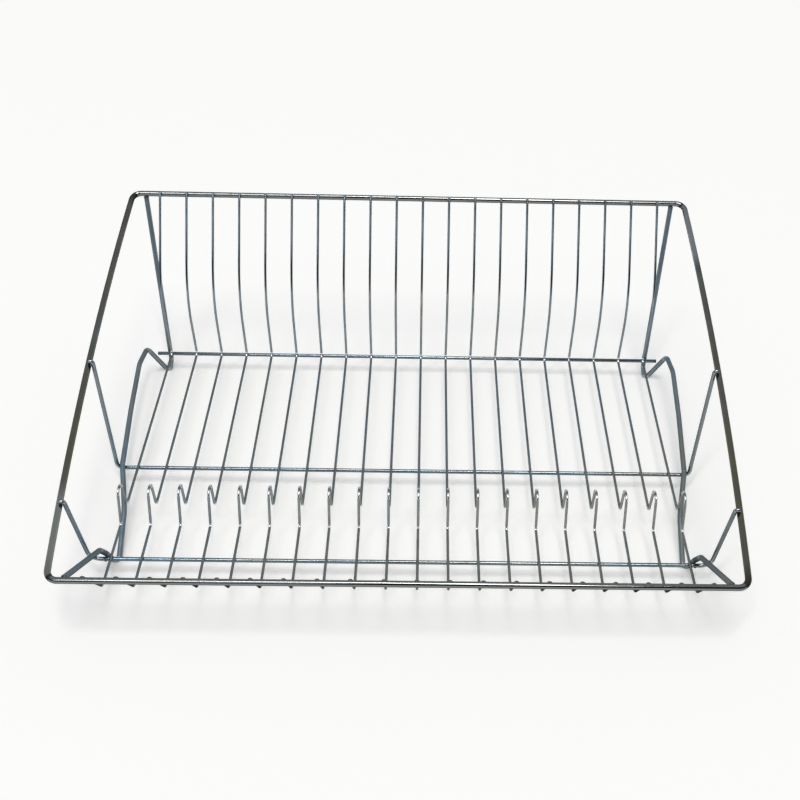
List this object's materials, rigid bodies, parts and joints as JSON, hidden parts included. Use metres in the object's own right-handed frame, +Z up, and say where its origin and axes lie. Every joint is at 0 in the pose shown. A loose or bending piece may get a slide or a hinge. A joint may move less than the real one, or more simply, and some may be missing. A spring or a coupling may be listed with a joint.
{
  "type": "wire dish rack",
  "caption": "Low rectangular dish rack of welded bright wire, with a sloping rim, a raised ridge between plate slots and front trough, and bent wire feet.",
  "frame": {"origin": "centre of the footprint at the plane its four wire feet stand on", "axes": "+X along the rack to its right end, +Y to the high back rim, +Z up"},
  "size_m": [0.4798, 0.3414, 0.1488],
  "materials": {
    "rim_wire": "bright plated",
    "frame_wire": "bright plated",
    "lengthwise_wire": "bright plated",
    "cross_wire": "plated"
  },
  "bodies": {
    "root": {"rim": "rim_wire", "left_side_frame": "frame_wire", "right_side_frame": "frame_wire", "back_lengthwise_wire": "lengthwise_wire", "middle_lengthwise_wire": "lengthwise_wire", "front_lengthwise_wire": "lengthwise_wire", "cross_wire_01": "cross_wire", "cross_wire_02": "cross_wire", "cross_wire_03": "cross_wire", "cross_wire_04": "cross_wire", "cross_wire_05": "cross_wire", "cross_wire_06": "cross_wire", "cross_wire_07": "cross_wire", "cross_wire_08": "cross_wire", "cross_wire_09": "cross_wire", "cross_wire_10": "cross_wire", "cross_wire_11": "cross_wire", "cross_wire_12": "cross_wire", "cross_wire_13": "cross_wire", "cross_wire_14": "cross_wire", "cross_wire_15": "cross_wire", "cross_wire_16": "cross_wire", "cross_wire_17": "cross_wire", "cross_wire_18": "cross_wire", "cross_wire_19": "cross_wire", "cross_wire_20": "cross_wire"}
  },
  "joints": []
}
